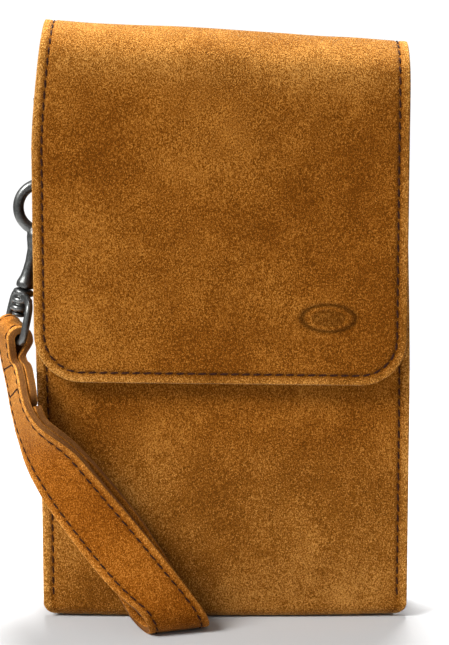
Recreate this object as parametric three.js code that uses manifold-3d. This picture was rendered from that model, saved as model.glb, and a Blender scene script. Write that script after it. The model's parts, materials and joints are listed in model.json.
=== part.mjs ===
// Suede wristlet wallet: a flap pouch with a clip-on wrist strap.
// Millimetres. X runs to the right, -Y is the front, +Z is up.
// The origin is the centre of the flat base that the pouch stands on.
import * as THREE from 'three';
import { mergeVertices } from 'three/addons/utils/BufferGeometryUtils.js';
import Module from 'manifold-3d';

const wasm = await Module();
wasm.setup();

// ---------------------------------------------------------------- driving dimensions
const GAP = 0.3; // clearance between pieces that touch

const WIDTH = 114; // pouch, across the side seams
const HEIGHT = 183; // to the top of the flap's fold, on the centre line
const DEPTH = 24; // pouch, front face to back face
const MOUTH = 160; // height of the pocket's front edge
const SUEDE = 1.8; // body leather
const BASE_ROUND = 3.5; // bend where the wrap turns under
const BASE_CORNER = 4; // rounding at the ends of the base
const TOP_SLOPE = 0.059; // the fold falls this much per mm to the right

const LINING = 0.6;
const LINING_INSET = 1.1; // room for the snap's washer behind the lining
const LINING_WIDTH = 99.2;

const FLAP_FRONT = 17.7; // flap's outer face, in front of the centre plane
const FLAP_OUTER = 1.4;
const FLAP_CORE = 1.1; // space between the flap's two layers
const FLAP_END = 75.5; // height of the flap's lower edge
const FLAP_CORNER = 14.5;

const GUSSET = 1.1;
const FLANGE = 5.5; // width of the gusset's turned-out edges
const FOLD_DEPTH = 9.5; // how far the gusset folds in at mid height

const SNAP_HEIGHT = 92;
const SNAP_RADIUS = 6.5;

const RING_ROD = 1.25;
const RING_HALF = 6.6; // half width to the rod's centre
const RING_TOP = 146.5; // height of the ring's straight bar

const HOOK_AT = new THREE.Vector3(-55.5, 0, 128.2); // centre of the hook's loop
const HOOK_LEAN = THREE.MathUtils.degToRad(13);
const HOOK_BEND = 7.4; // loop radius, to the rod's centre
const HOOK_ROD = 1.7;
const EYE_BAR = 41.3; // loop centre to the strap bar, along the hook
const EYE_TURN = THREE.MathUtils.degToRad(-72);
const EYE_HALF = 11.6;
const EYE_ROD = 1.2;

const STRAP_WIDTH = 19.2;
const STRAP_THICK = 2.5;
const STRAP_BEND = 2.85; // radius of the fold over the bar
const LEG_GAP = 10.5; // distance between the strap's legs at the floor
const LEG_SIDESTEP = 1.5; // the returning leg lies this much further out

// ---------------------------------------------------------------- colours
const material = (color, roughness, metalness = 0) =>
  new THREE.MeshStandardMaterial({ color, roughness, metalness });
const suede = () => material(0x8d5217, 0.95);
const strapSuede = () => material(0x9a5618, 0.92);
const liningHide = () => material(0x7d4a1c, 0.9);
const gunmetal = () => material(0x6a6a66, 0.32, 1);
const snapMetal = () => material(0x8a8a86, 0.3, 1);

// ---------------------------------------------------------------- geometry helpers
function weld(geometry) {
  geometry.deleteAttribute('normal');
  geometry.deleteAttribute('uv');
  return mergeVertices(geometry, 1e-4);
}

function toSolid(geometry) {
  const welded = weld(geometry.clone());
  return new wasm.Manifold(new wasm.Mesh({
    numProp: 3,
    vertProperties: new Float32Array(welded.attributes.position.array),
    triVerts: new Uint32Array(welded.index.array),
  }));
}

function toGeometry(solid) {
  const mesh = solid.getMesh();
  const geometry = new THREE.BufferGeometry();
  geometry.setAttribute('position', new THREE.BufferAttribute(mesh.vertProperties, 3));
  geometry.setIndex(new THREE.BufferAttribute(mesh.triVerts, 1));
  return geometry;
}

const join = (...parts) => toGeometry(parts.map(toSolid).reduce((all, part) => all.add(part)));
const cut = (body, ...tools) =>
  toGeometry(tools.map(toSolid).reduce((rest, tool) => rest.subtract(tool), toSolid(body)));
const common = (a, b) => toGeometry(toSolid(a).intersect(toSolid(b)));

function bend(geometry, move) {
  const position = geometry.attributes.position;
  const point = new THREE.Vector3();
  for (let i = 0; i < position.count; i++) {
    point.fromBufferAttribute(position, i);
    move(point);
    position.setXYZ(i, point.x, point.y, point.z);
  }
  return geometry;
}

// The pouch's left side stands a little taller than its right side.
const topDrop = (x, z) => -x * TOP_SLOPE * (z / HEIGHT) ** 2;
const slope = (geometry) => bend(geometry, (p) => { p.z += topDrop(p.x, p.z); });

function flip(geometry) {
  const index = geometry.index;
  for (let i = 0; i < index.count; i += 3) {
    const first = index.getX(i);
    index.setX(i, index.getX(i + 1));
    index.setX(i + 1, first);
  }
  return geometry;
}

function signedVolume(geometry) {
  const { position } = geometry.attributes;
  const [a, b, c] = [new THREE.Vector3(), new THREE.Vector3(), new THREE.Vector3()];
  let sum = 0;
  for (let i = 0; i < geometry.index.count; i += 3) {
    a.fromBufferAttribute(position, geometry.index.getX(i));
    b.fromBufferAttribute(position, geometry.index.getX(i + 1));
    c.fromBufferAttribute(position, geometry.index.getX(i + 2));
    sum += a.dot(b.cross(c)) / 6;
  }
  return sum;
}

function piece(name, geometry, finish) {
  const welded = weld(geometry);
  const mesh = new THREE.Mesh(signedVolume(welded) < 0 ? flip(welded) : welded, finish);
  mesh.name = name;
  return mesh;
}

const AXIS_X = new THREE.Vector3(1, 0, 0);
const AXIS_Y = new THREE.Vector3(0, 1, 0);
const AXIS_Z = new THREE.Vector3(0, 0, 1);

// A side profile (y, z), extruded across the pouch.
function acrossX(shape, width, curveSegments = 12) {
  const geometry = new THREE.ExtrudeGeometry(shape, { depth: width, bevelEnabled: false, curveSegments });
  geometry.applyMatrix4(new THREE.Matrix4().makeBasis(AXIS_Y, AXIS_Z, AXIS_X));
  return geometry.translate(-width / 2, 0, 0);
}

// A front outline (x, z), extruded from front to back.
function throughY(shape, depth, centre = 0, curveSegments = 10) {
  const geometry = new THREE.ExtrudeGeometry(shape, { depth, bevelEnabled: false, curveSegments });
  const back = AXIS_Y.clone().negate();
  geometry.applyMatrix4(new THREE.Matrix4().makeBasis(AXIS_X, AXIS_Z, back));
  return geometry.translate(0, centre + depth / 2, 0);
}

// A turned piece; the profile (radius, height) is closed or ends on the axis.
function turned(profile, segments = 24) {
  return new THREE.LatheGeometry(profile.map(([r, h]) => new THREE.Vector2(r, h)), segments);
}

const disc = (radius, from, to) => turned([[0, from], [radius, from], [radius, to], [0, to]]);
const washer = (inner, outer, from, to, segments = 24) =>
  turned([[inner, from], [outer, from], [outer, to], [inner, to], [inner, from]], segments);

function rod(points, radius, steps, sides = 10) {
  const section = new THREE.Shape();
  section.absarc(0, 0, radius, 0, 2 * Math.PI, false);
  const extrudePath = new THREE.CatmullRomCurve3(points);
  return new THREE.ExtrudeGeometry(section, { steps, extrudePath, curveSegments: sides / 2 });
}

function arcPoints(radius, from, to, count, centreX = 0, centreZ = 0) {
  return Array.from({ length: count + 1 }, (_, i) => {
    const angle = THREE.MathUtils.degToRad(from + ((to - from) * i) / count);
    return new THREE.Vector3(centreX + radius * Math.cos(angle), 0, centreZ + radius * Math.sin(angle));
  });
}

// ---------------------------------------------------------------- pouch body
// A band of leather that goes down the front, under the base and up the back.
function underBand(half, thickness, bottom, round, frontTop, backTop) {
  const middle = half - round;
  const inner = round - thickness;
  const shape = new THREE.Shape();
  shape.moveTo(half, backTop);
  shape.lineTo(half, bottom + round);
  shape.absarc(middle, bottom + round, round, 0, -Math.PI / 2, true);
  shape.lineTo(-middle, bottom);
  shape.absarc(-middle, bottom + round, round, -Math.PI / 2, -Math.PI, true);
  shape.lineTo(-half, frontTop);
  shape.lineTo(-half + thickness, frontTop);
  shape.lineTo(-half + thickness, bottom + round);
  shape.absarc(-middle, bottom + round, inner, Math.PI, 1.5 * Math.PI, false);
  shape.lineTo(middle, bottom + thickness);
  shape.absarc(middle, bottom + round, inner, -Math.PI / 2, 0, false);
  shape.lineTo(half - thickness, backTop);
  return shape;
}

// A panel outline with rounded lower corners.
function panelOutline(width, bottom, top, corner) {
  const half = width / 2;
  const shape = new THREE.Shape();
  shape.moveTo(half, top);
  shape.lineTo(-half, top);
  shape.lineTo(-half, bottom + corner);
  shape.absarc(-half + corner, bottom + corner, corner, Math.PI, 1.5 * Math.PI, false);
  shape.lineTo(half - corner, bottom);
  shape.absarc(half - corner, bottom + corner, corner, -Math.PI / 2, 0, false);
  return shape;
}

const foldRadius = (FLAP_FRONT + DEPTH / 2) / 2;
const foldY = DEPTH / 2 - foldRadius;
const foldZ = HEIGHT - foldRadius;
const backTop = foldZ - 0.35;

function bodyWrap() {
  const band = underBand(DEPTH / 2, SUEDE, 0, BASE_ROUND, MOUTH, backTop);
  const outline = panelOutline(WIDTH, 0, HEIGHT, BASE_CORNER);
  return slope(common(acrossX(band, WIDTH), throughY(outline, 2 * DEPTH)));
}

function pocketLining() {
  const half = DEPTH / 2 - SUEDE - LINING_INSET;
  const bottom = SUEDE + GAP;
  const band = underBand(half, LINING, bottom, BASE_ROUND - SUEDE, MOUTH - 2, MOUTH - 2);
  return slope(acrossX(band, LINING_WIDTH));
}

function cardPocket() {
  const [panelY, panelThick, low, high, width] = [7.45, 0.9, 8, 72, 92];
  return slope(throughY(panelOutline(width, low, high, BASE_CORNER), panelThick, panelY));
}

// ---------------------------------------------------------------- gussets
// A folded side strip: a channel whose edges lie along the front and back panels,
// whose wall folds in, and whose lower end narrows to follow the rounded base.
function gusset(side) {
  const outerY = DEPTH / 2 - SUEDE - GAP;
  const innerY = outerY - GUSSET;
  const edgeX = WIDTH / 2;
  const wallX = edgeX - FLANGE;
  const [low, high] = [SUEDE + 2 * GAP, MOUTH - 0.5];
  const half = [[edgeX, outerY], [wallX - GUSSET, outerY], [wallX - GUSSET, innerY]];
  const outline = [
    ...half, [wallX - GUSSET, 0],
    ...half.map(([x, y]) => [x, -y]).reverse(),
    [edgeX, -innerY], [wallX, -innerY], [wallX, 0], [wallX, innerY], [edgeX, innerY],
  ];
  const shape = new THREE.Shape(outline.map(([x, y]) => new THREE.Vector2(x, y)));
  const strip = new THREE.ExtrudeGeometry(shape, { depth: 1, steps: 22, bevelEnabled: false });
  const base = { y: DEPTH / 2 - BASE_ROUND, round: BASE_ROUND - SUEDE };
  bend(strip, (p) => {
    const level = p.z ** 1.5;
    const fold = FOLD_DEPTH * (1 - Math.abs(2 * level - 1) ** 5);
    const inFold = Math.max(0, 1 - Math.abs(p.y) / innerY);
    p.z = low + (high - low) * level;
    const below = Math.max(0, BASE_ROUND - p.z);
    const room = base.y + Math.sqrt(base.round ** 2 - below ** 2) - GAP;
    p.x = side * (p.x - fold * inFold);
    p.y *= room / outerY;
  });
  return slope(strip);
}

// ---------------------------------------------------------------- flap
// Over the top and down the front; "inset" counts in from the flap's outer face.
function flapLayer(inset, thickness, rootAngle, width, corner, lift) {
  const outer = foldRadius - inset;
  const inner = outer - thickness;
  const bottom = FLAP_END + lift;
  const shape = new THREE.Shape();
  shape.absarc(foldY, foldZ, outer, rootAngle, Math.PI, false);
  shape.lineTo(foldY - outer, bottom);
  shape.lineTo(foldY - inner, bottom);
  shape.lineTo(foldY - inner, foldZ);
  shape.absarc(foldY, foldZ, inner, Math.PI, rootAngle, true);
  const outline = panelOutline(width, bottom, HEIGHT + 1, corner);
  return slope(common(acrossX(shape, width, 20), throughY(outline, 4 * DEPTH)));
}

const flapOuter = () => flapLayer(0, FLAP_OUTER, 0, WIDTH, FLAP_CORNER, 0);
const flapLining = () =>
  flapLayer(FLAP_OUTER + FLAP_CORE, LINING, 0.3, WIDTH - 1, FLAP_CORNER - 0.5, 0.5);

// ---------------------------------------------------------------- magnetic snap
const bodyFront = -DEPTH / 2;
const flapInside = -(FLAP_FRONT - FLAP_OUTER - FLAP_CORE - LINING);
const atSnap = (geometry) => slope(geometry.translate(0, 0, SNAP_HEIGHT));

function snapSocket() {
  const [hole, rim] = [2.4, 0.3];
  const [face, back] = [bodyFront - 1.3, bodyFront - GAP];
  return atSnap(turned([
    [hole, back], [SNAP_RADIUS, back], [SNAP_RADIUS, face + rim],
    [SNAP_RADIUS - rim, face], [hole, face], [hole, back],
  ]));
}

function snapStud() {
  const [boss, plate] = [1.8, 0.7];
  const back = flapInside + GAP;
  return atSnap(turned([
    [0, back], [SNAP_RADIUS, back], [SNAP_RADIUS, back + plate],
    [boss, back + plate], [boss, back + plate + 0.9], [0, back + plate + 0.9],
  ]));
}

function snapSocketWasher() {
  const face = bodyFront + SUEDE + GAP;
  return atSnap(disc(5.5, face, face + 0.5));
}

function snapStudWasher() {
  const face = -(FLAP_FRONT - FLAP_OUTER) + GAP;
  return atSnap(disc(5.5, face, face + 0.5));
}

// ---------------------------------------------------------------- ring and its tab
function ringTab() {
  const [eyeR, hide, width, tongueTop, tongue] = [1.6, 1.2, 9.8, 158, 2.4];
  const outerR = eyeR + hide;
  const shape = new THREE.Shape();
  shape.moveTo(outerR, 0);
  shape.lineTo(outerR, tongueTop - RING_TOP);
  shape.lineTo(outerR - tongue, tongueTop - RING_TOP);
  shape.lineTo(outerR - tongue, outerR);
  shape.absarc(0, 0, outerR, Math.PI / 2, 2 * Math.PI, false);
  const eye = new THREE.Path();
  eye.absarc(0, 0, eyeR, 0, 2 * Math.PI, true);
  shape.holes.push(eye);
  return throughY(shape, width).translate(HOOK_AT.x, 0, RING_TOP);
}

function dRing() {
  const hookTop = HOOK_AT.z + HOOK_BEND - HOOK_ROD;
  const bowZ = hookTop - GAP - RING_ROD + RING_HALF;
  const leg = (sign) => new THREE.Vector3(sign * RING_HALF, 0, RING_TOP);
  const bow = arcPoints(RING_HALF, 180, 360, 12, 0, bowZ);
  const loop = rod([leg(-1), ...bow, leg(1)], RING_ROD, 40);
  const bar = new THREE.CylinderGeometry(RING_ROD, RING_ROD, 2 * RING_HALF + 1.6, 20);
  bar.rotateZ(Math.PI / 2).translate(0, 0, RING_TOP);
  return join(loop, bar).rotateZ(Math.PI / 2).translate(HOOK_AT.x, 0, 0);
}

// ---------------------------------------------------------------- snap hook
// Drawn upright about its own axis, with the loop's centre as its origin.
const PIVOT_ANGLE = -58;
const NOSE_ANGLE = 24; // the nose and the gate both run past the seam before they are trimmed
const GATE_ANGLE = 34;
const GATE_REACH = 10.0; // pivot to the gate's tip
const NOSE_REACH = GATE_REACH + 2 * GAP;
const PIN_RADIUS = 0.7;
const PIN_HOLE = PIN_RADIUS + GAP;
const BOSS_TOP = 26.1;
const BOSS_END = 33.6;
const POST_RADIUS = 1.15;
const pivot = arcPoints(HOOK_BEND, PIVOT_ANGLE, PIVOT_ANGLE, 1)[0];
const atPivot = (geometry) => geometry.translate(pivot.x, 0, pivot.z);
// The seam between the nose and the gate is an arc about the pivot, so the gate swings clear.
const upperHalf = () => new THREE.BoxGeometry(14, 8, 8).translate(4, 0, 5.5);
const swept = (radius) => atPivot(turned([[0, -4], [radius, -4], [radius, 4], [0, 4]], 96));

function hookBody() {
  const loop = rod(arcPoints(HOOK_BEND, NOSE_ANGLE, 255, 26), HOOK_ROD, 34, 12);
  const noseSeam = common(swept(NOSE_REACH), upperHalf());
  const stem = turned([
    [0, -6.2], [2.4, -6.8], [2.9, -8.6], [2.3, -11.4], [1.65, -13.6], [1.6, -17.5], [1.95, -21.5],
    [2.6, -23.6], [2.8, -24], [2.8, -25.4], [2.5, -25.8], [POST_RADIUS, -25.8],
    [POST_RADIUS, -BOSS_END - GAP], [2.2, -BOSS_END - GAP], [2.2, -BOSS_END - 1.1], [0, -BOSS_END - 1.6],
  ].reverse()).rotateX(Math.PI / 2);
  const ears = atPivot(disc(2.4, -2.1, 2.1));
  const slot = atPivot(disc(2.9, -1.3, 1.3));
  const hole = atPivot(disc(PIN_HOLE, -3, 3));
  return cut(join(loop, stem, ears), slot, hole, noseSeam);
}

function hookGate() {
  const [linkFrom, linkTo, linkR, start] = [-1.0, 0.3, 1.9, -36];
  const bar = common(rod(arcPoints(HOOK_BEND, start, GATE_ANGLE, 10), 1.35, 14), swept(GATE_REACH));
  const hub = atPivot(disc(linkR, linkFrom, linkTo));
  const end = arcPoints(HOOK_BEND, start, start, 1)[0];
  const link = new THREE.BoxGeometry(5, linkTo - linkFrom, 2.2);
  const middle = pivot.clone().add(end).multiplyScalar(0.5);
  link.rotateY(-Math.atan2(end.z - pivot.z, end.x - pivot.x));
  link.translate(middle.x, (linkFrom + linkTo) / 2, middle.z);
  const thumb = new THREE.SphereGeometry(1.0, 12, 8).translate(HOOK_BEND + 1.2, 0, 0);
  return cut(join(bar, hub, link, thumb), atPivot(disc(PIN_HOLE, -3, 3)));
}

const gatePin = () => atPivot(disc(PIN_RADIUS, -2.4, 2.4));
const gateSpring = () => atPivot(washer(PIN_HOLE, 1.7, 0.6, 1.0, 16));

function swivelEye() {
  const side = [
    [2.4, -28.4], [7.4, -28.6], [10.6, -30.2], [EYE_HALF, -33.5], [EYE_HALF, -39.2],
    [EYE_HALF - 0.35, -40.7], [EYE_HALF - 1.5, -EYE_BAR],
  ];
  const points = [...side, [0, -EYE_BAR], ...side.map(([x, z]) => [-x, z]).reverse()];
  const stirrup = rod(points.map(([x, z]) => new THREE.Vector3(x, 0, z)), EYE_ROD, 64);
  const [ridge, groove, bore] = [3.35, 2.8, POST_RADIUS + GAP];
  const rings = 3;
  const pitch = (BOSS_END - BOSS_TOP) / rings;
  const profile = [];
  for (let i = 0; i < rings; i++) {
    const top = BOSS_TOP + i * pitch;
    profile.push([groove, top], [ridge, top + 0.4], [ridge, top + pitch - 0.4], [groove, top + pitch]);
  }
  const outline = [[bore, BOSS_TOP], ...profile, [bore, BOSS_END], [bore, BOSS_TOP]];
  const boss = turned(outline.map(([r, s]) => [r, -s]).reverse()).rotateX(Math.PI / 2);
  const postHole = disc(bore, BOSS_TOP - 1, BOSS_END + 1).rotateX(-Math.PI / 2);
  return cut(join(stirrup, boss), postHole);
}

// ---------------------------------------------------------------- wrist strap
// Each station is the front leg's centre, followed by its width direction.
const hookFrame = new THREE.Matrix4().makeRotationY(HOOK_LEAN).setPosition(HOOK_AT);
const barCentre = new THREE.Vector3(0, 0, -EYE_BAR).applyMatrix4(hookFrame);
const barDirection = new THREE.Vector3(Math.cos(EYE_TURN), Math.sin(EYE_TURN), 0)
  .transformDirection(hookFrame);
const legStart = new THREE.Vector3(0.15, 0, -1).projectOnPlane(barDirection).normalize();
const faceStart = new THREE.Vector3().crossVectors(legStart, barDirection);
const foldCentre = barCentre.clone().addScaledVector(legStart, -0.8);
const foldFront = foldCentre.clone().addScaledVector(faceStart, STRAP_BEND);

const STATIONS = [
  [foldFront, barDirection],
  [foldFront.clone().addScaledVector(legStart, 6), barDirection],
  [[-64.0, -8.6, 76.2], [5.2, -17.0, 7.6]],
  [[-61.3, -16.0, 67.2], [5.2, -16.2, 6.6]],
  [[-58.0, -20.8, 61.0], [7.2, -15.2, 7.4]],
  [[-50.6, -23.6, 51.5], [14.1, -8.4, 8.7]],
  [[-44.4, -24.8, 42.7], [15.5, -4.4, 8.8]],
  [[-34.6, -26.6, 30.3], [16, -1.2, 9.5]],
  [[-24.6, -29.2, 18.4], [17.5, 1.6, 6.5]],
  [[-15.9, -31.2, 8.83], [18.3, 5.6, 0.6]],
];
const vector = (value) => (value.isVector3 ? value.clone() : new THREE.Vector3(...value));
const legPath = new THREE.CatmullRomCurve3(STATIONS.map(([centre]) => vector(centre)));
const legTurn = new THREE.CatmullRomCurve3(STATIONS.map(([, across]) => vector(across).normalize()));
const FOLD_END = 0.34; // where the folded-over end stops, along the front leg
const RETURN_END = 0.348; // where the returning leg stops, just below it

const ease = (value, from, to) => THREE.MathUtils.smoothstep(value, from, to);

function legSection(u) {
  const along = legPath.getTangent(u);
  const across = legTurn.getPoint(u).normalize();
  const face = new THREE.Vector3().crossVectors(along, across).normalize();
  return { centre: legPath.getPoint(u), across, face, along };
}

// The layer behind the front leg: round the bar, flat against it, then opening out.
function behind(u) {
  const { centre, across, face } = legSection(u);
  const closing = (2 * STRAP_BEND - STRAP_THICK - GAP) * (1 - ease(u, 0.02, 0.1));
  const opening = (LEG_GAP - STRAP_THICK - GAP) * ease(u, 0.42, 1) ** 0.8;
  const distance = STRAP_THICK + GAP + closing + opening;
  const sideways = LEG_SIDESTEP * ease(u, RETURN_END, 0.42) * (1 - ease(u, 0.5, 0.8));
  centre.addScaledVector(face, -distance).addScaledVector(across, -sideways);
  return { centre, across, face: face.negate() };
}

function turn(start, face, down, across, radius, skew, count) {
  return Array.from({ length: count - 1 }, (_, i) => {
    const angle = (Math.PI * (i + 1)) / count;
    const centre = start.clone()
      .addScaledVector(face, radius * (Math.cos(angle) - 1))
      .addScaledVector(down, radius * Math.sin(angle))
      .addScaledVector(across, radius * skew * Math.sin(angle));
    const normal = face.clone().multiplyScalar(Math.cos(angle)).addScaledVector(down, Math.sin(angle));
    return { centre, across, face: normal };
  });
}

const steps = (from, to, count) =>
  Array.from({ length: count + 1 }, (_, i) => from + ((to - from) * i) / count);

function strapPath() {
  const foldBack = steps(FOLD_END, 0, 12).map(behind);
  const overBar = turn(
    foldBack.at(-1).centre, faceStart.clone().negate(), legStart.clone().negate(),
    barDirection, STRAP_BEND, 0, 10,
  );
  const front = steps(0, 1, 40).map(legSection);
  const end = front.at(-1);
  const down = end.along.clone().projectOnPlane(end.across).normalize();
  const skew = end.along.dot(end.across) / end.along.dot(down);
  const under = turn(end.centre, end.face, down, end.across, LEG_GAP / 2, skew, 10);
  return [...foldBack, ...overBar, ...front, ...under, ...steps(1, RETURN_END, 32).map(behind)];
}

// One layer of the strap, between two distances from the strap's middle surface.
function ribbon(from, to) {
  const sections = strapPath();
  const corners = [];
  for (const { centre, across, face } of sections) {
    for (const [side, height] of [[-1, from], [1, from], [1, to], [-1, to]]) {
      const corner = centre.clone()
        .addScaledVector(across, (side * STRAP_WIDTH) / 2)
        .addScaledVector(face, height);
      corners.push(corner.x, corner.y, corner.z);
    }
  }
  const index = [];
  for (let i = 0; i + 1 < sections.length; i++) {
    for (let k = 0; k < 4; k++) {
      const [a, b] = [4 * i + k, 4 * i + ((k + 1) % 4)];
      if (k < 2) index.push(a, b, b + 4, a, b + 4, a + 4);
      else index.push(a, b, a + 4, b, b + 4, a + 4);
    }
  }
  const last = 4 * (sections.length - 1);
  index.push(0, 2, 1, 0, 3, 2, last, last + 1, last + 2, last, last + 2, last + 3);
  const geometry = new THREE.BufferGeometry();
  geometry.setAttribute('position', new THREE.Float32BufferAttribute(corners, 3));
  geometry.setIndex(index);
  return geometry;
}

const strapOuter = () => ribbon(GAP / 2, STRAP_THICK / 2);
const strapLining = () => ribbon(-STRAP_THICK / 2, -GAP / 2);

// ---------------------------------------------------------------- assembly
const pouch = new THREE.Group();
pouch.add(
  piece('body_wrap', bodyWrap(), suede()),
  piece('pocket_lining', pocketLining(), liningHide()),
  piece('card_pocket', cardPocket(), liningHide()),
  piece('gusset_left', gusset(-1), suede()),
  piece('gusset_right', gusset(1), suede()),
  piece('snap_socket', snapSocket(), snapMetal()),
  piece('snap_socket_washer', snapSocketWasher(), snapMetal()),
  piece('ring_tab', ringTab(), suede()),
);

const flap = new THREE.Group();
flap.add(
  piece('flap_outer', flapOuter(), suede()),
  piece('flap_lining', flapLining(), liningHide()),
  piece('snap_stud', snapStud(), snapMetal()),
  piece('snap_stud_washer', snapStudWasher(), snapMetal()),
);

const clasp = new THREE.Group();
clasp.position.copy(HOOK_AT);
clasp.rotation.y = HOOK_LEAN;
clasp.add(
  piece('hook_body', hookBody(), gunmetal()),
  piece('hook_gate', hookGate(), gunmetal()),
  piece('gate_pin', gatePin(), gunmetal()),
  piece('gate_spring', gateSpring(), gunmetal()),
);
const eye = piece('swivel_eye', swivelEye(), gunmetal());
eye.rotation.z = EYE_TURN;
clasp.add(eye);

const strap = new THREE.Group();
strap.add(
  piece('strap_outer', strapOuter(), strapSuede()),
  piece('strap_lining', strapLining(), strapSuede()),
);

const wallet = new THREE.Group();
wallet.add(pouch, flap, piece('d_ring', dRing(), gunmetal()), clasp, strap);
export default wallet;
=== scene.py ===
"""Looks of a suede wristlet wallet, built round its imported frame.

Shapes are worked out in millimetres and made in metres. X is right, -Y is the front, +Z is up.
"""

import json
import math

import bmesh
import bpy
import numpy as np
from mathutils import Matrix, Vector


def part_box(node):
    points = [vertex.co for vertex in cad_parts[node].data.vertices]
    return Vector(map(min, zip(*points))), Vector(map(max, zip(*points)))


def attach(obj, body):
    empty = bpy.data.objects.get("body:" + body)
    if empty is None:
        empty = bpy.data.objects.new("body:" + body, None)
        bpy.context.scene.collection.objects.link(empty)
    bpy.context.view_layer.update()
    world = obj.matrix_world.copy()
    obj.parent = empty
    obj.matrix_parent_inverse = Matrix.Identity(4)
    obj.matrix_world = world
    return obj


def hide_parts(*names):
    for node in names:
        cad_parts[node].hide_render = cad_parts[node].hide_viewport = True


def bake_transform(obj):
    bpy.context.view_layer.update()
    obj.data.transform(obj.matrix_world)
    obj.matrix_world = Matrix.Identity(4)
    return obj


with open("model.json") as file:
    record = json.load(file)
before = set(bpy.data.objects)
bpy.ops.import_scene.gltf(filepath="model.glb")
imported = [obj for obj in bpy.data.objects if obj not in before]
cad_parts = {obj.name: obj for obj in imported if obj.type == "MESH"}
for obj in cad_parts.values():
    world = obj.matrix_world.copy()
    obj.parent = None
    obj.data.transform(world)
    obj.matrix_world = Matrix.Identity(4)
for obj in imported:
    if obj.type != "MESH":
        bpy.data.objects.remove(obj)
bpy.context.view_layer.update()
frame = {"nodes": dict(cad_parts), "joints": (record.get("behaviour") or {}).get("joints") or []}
MM = 0.001

# ---------------------------------------------------------------- sizes taken from the frame
JOINTS = {joint["name"]: joint for joint in frame["joints"]}


def box_mm(node):
    low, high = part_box(node)
    return np.array(low) / MM, np.array(high) / MM


def joint_at(name):
    return np.array(JOINTS[name]["pos_m"]) / MM


def joint_axis(name):
    axis = np.array(JOINTS[name]["axis"], float)
    return axis / np.linalg.norm(axis)


HALF_WIDTH, HALF_DEPTH, _ = box_mm("body_wrap")[1]
FLAP_LOW = box_mm("flap_outer")[0]
FOLD_Z = joint_at("flap_fold")[2]
FOLD_RADIUS = (HALF_DEPTH - FLAP_LOW[1]) / 2
FOLD_Y = HALF_DEPTH - FOLD_RADIUS
HEIGHT = FOLD_Z + FOLD_RADIUS

# ---------------------------------------------------------------- driving sizes, mm
TOP_SLOPE = 0.066  # the fold falls this much per mm to the right
SUEDE = 1.8
BASE_ROUND = 3.5
BASE_CORNER = 4.0
MOUTH = 160.0
BACK_TOP = FOLD_Z - 0.35
BODY_SEAM = 3.2  # stitching, in from the body's edges
PAINTED_FLOOR_BOUNCE = 0.28  # how much lighter the lower body is painted, as painted light bounced up from the floor

FLAP_END = 75.5
FLAP_CORNER = 14.5
FLAP_SKIN = 1.45
FLAP_THICK = 3.1  # both layers
FLAP_SEAM = 3.1
FLAP_TAIL = 9.0  # the flap's root laps this far down the back
FRONT_RUN = FOLD_Z - FLAP_END
FOLD_RUN = math.pi * FOLD_RADIUS

SEAM_ZONE = 5.2  # the border that holds a seam, meshed in fine steps
FINE_STEP = 0.34
GROOVE = 0.42  # depth of a stitched groove
GROOVE_WIDTH = 0.62
EDGE_ROUND = 0.5

STRAP_WIDTH = 19.2
STRAP_THICK = 2.5
STRAP_BEND = 2.85
STRAP_SEAM = 2.6
STRAP_ROWS = (12.5, 23.0)  # rows sewn across the front leg, from the bar
LAYER_GAP = 0.3
LEG_GAP = 10.5
LEG_SIDESTEP = 1.5
FOLD_END = 0.34
RETURN_END = 0.348

STITCH_PITCH = 3.35
STITCH_LENGTH = 2.55
THREAD_RADIUS = 0.3


# ---------------------------------------------------------------- small maths
def ease(value, start, end):
    t = np.clip((np.asarray(value, float) - start) / (end - start), 0, 1)
    return t * t * (3 - 2 * t)


def unit(vectors):
    vectors = np.asarray(vectors, float)
    return vectors / np.linalg.norm(vectors, axis=-1, keepdims=True)


def ripple(points, size, seed):
    """Smooth, irregular values from about -1 to 1, with waves about size mm long."""
    random = np.random.default_rng(seed)
    total = np.zeros(points.shape[:-1])
    for _ in range(7):
        direction = unit(random.normal(size=3))
        wave = size * random.uniform(0.7, 1.6)
        total += np.sin(points @ direction * 2 * math.pi / wave + random.uniform(0, 6.28))
    return total / 3


def spaced(length, fine_zones, fine, coarse):
    """Places from 0 to length: fine steps inside the zones, coarse ones elsewhere."""
    places = [0.0]
    while places[-1] < length - 1e-6:
        here = places[-1]
        inside = any(low <= here < high for low, high in fine_zones)
        step = fine if inside else coarse
        ahead = [low - here for low, _ in fine_zones if low > here + 1e-6]
        if not inside and ahead:
            step = min(step, min(ahead))
        places.append(min(length, here + step))
    return np.array(places)


def lean(points):
    """The pouch stands a little taller on its left side."""
    points = np.array(points, float)
    points[..., 2] -= points[..., 0] * TOP_SLOPE * (points[..., 2] / HEIGHT) ** 2
    return points


# ---------------------------------------------------------------- meshes
def make(name, points, faces, materials, slots=None, tone=None, sharp=48):
    """One mesh in metres. "rest" keeps each point's place for the materials; "tone" darkens or lightens."""
    mesh = bpy.data.meshes.new(name)
    points = np.asarray(points, float).reshape(-1, 3)
    mesh.from_pydata((points * MM).tolist(), [], [list(map(int, face)) for face in faces])
    for material in materials:
        mesh.materials.append(material)
    if slots is not None:
        mesh.polygons.foreach_set("material_index", np.asarray(slots, np.int32))
    rest = mesh.attributes.new("rest", "FLOAT_VECTOR", "POINT")
    rest.data.foreach_set("vector", (points * MM).astype(np.float32).ravel())
    shade = mesh.attributes.new("tone", "FLOAT", "POINT")
    values = np.zeros(len(points)) if tone is None else np.asarray(tone, float).ravel()
    shade.data.foreach_set("value", values.astype(np.float32))
    work = bmesh.new()
    work.from_mesh(mesh)
    bmesh.ops.recalc_face_normals(work, faces=work.faces)
    work.to_mesh(mesh)
    work.free()
    mesh.polygons.foreach_set("use_smooth", [True] * len(mesh.polygons))
    mesh.set_sharp_from_angle(angle=math.radians(sharp))
    piece = bpy.data.objects.new(name, mesh)
    bpy.context.scene.collection.objects.link(piece)
    return piece


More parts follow.
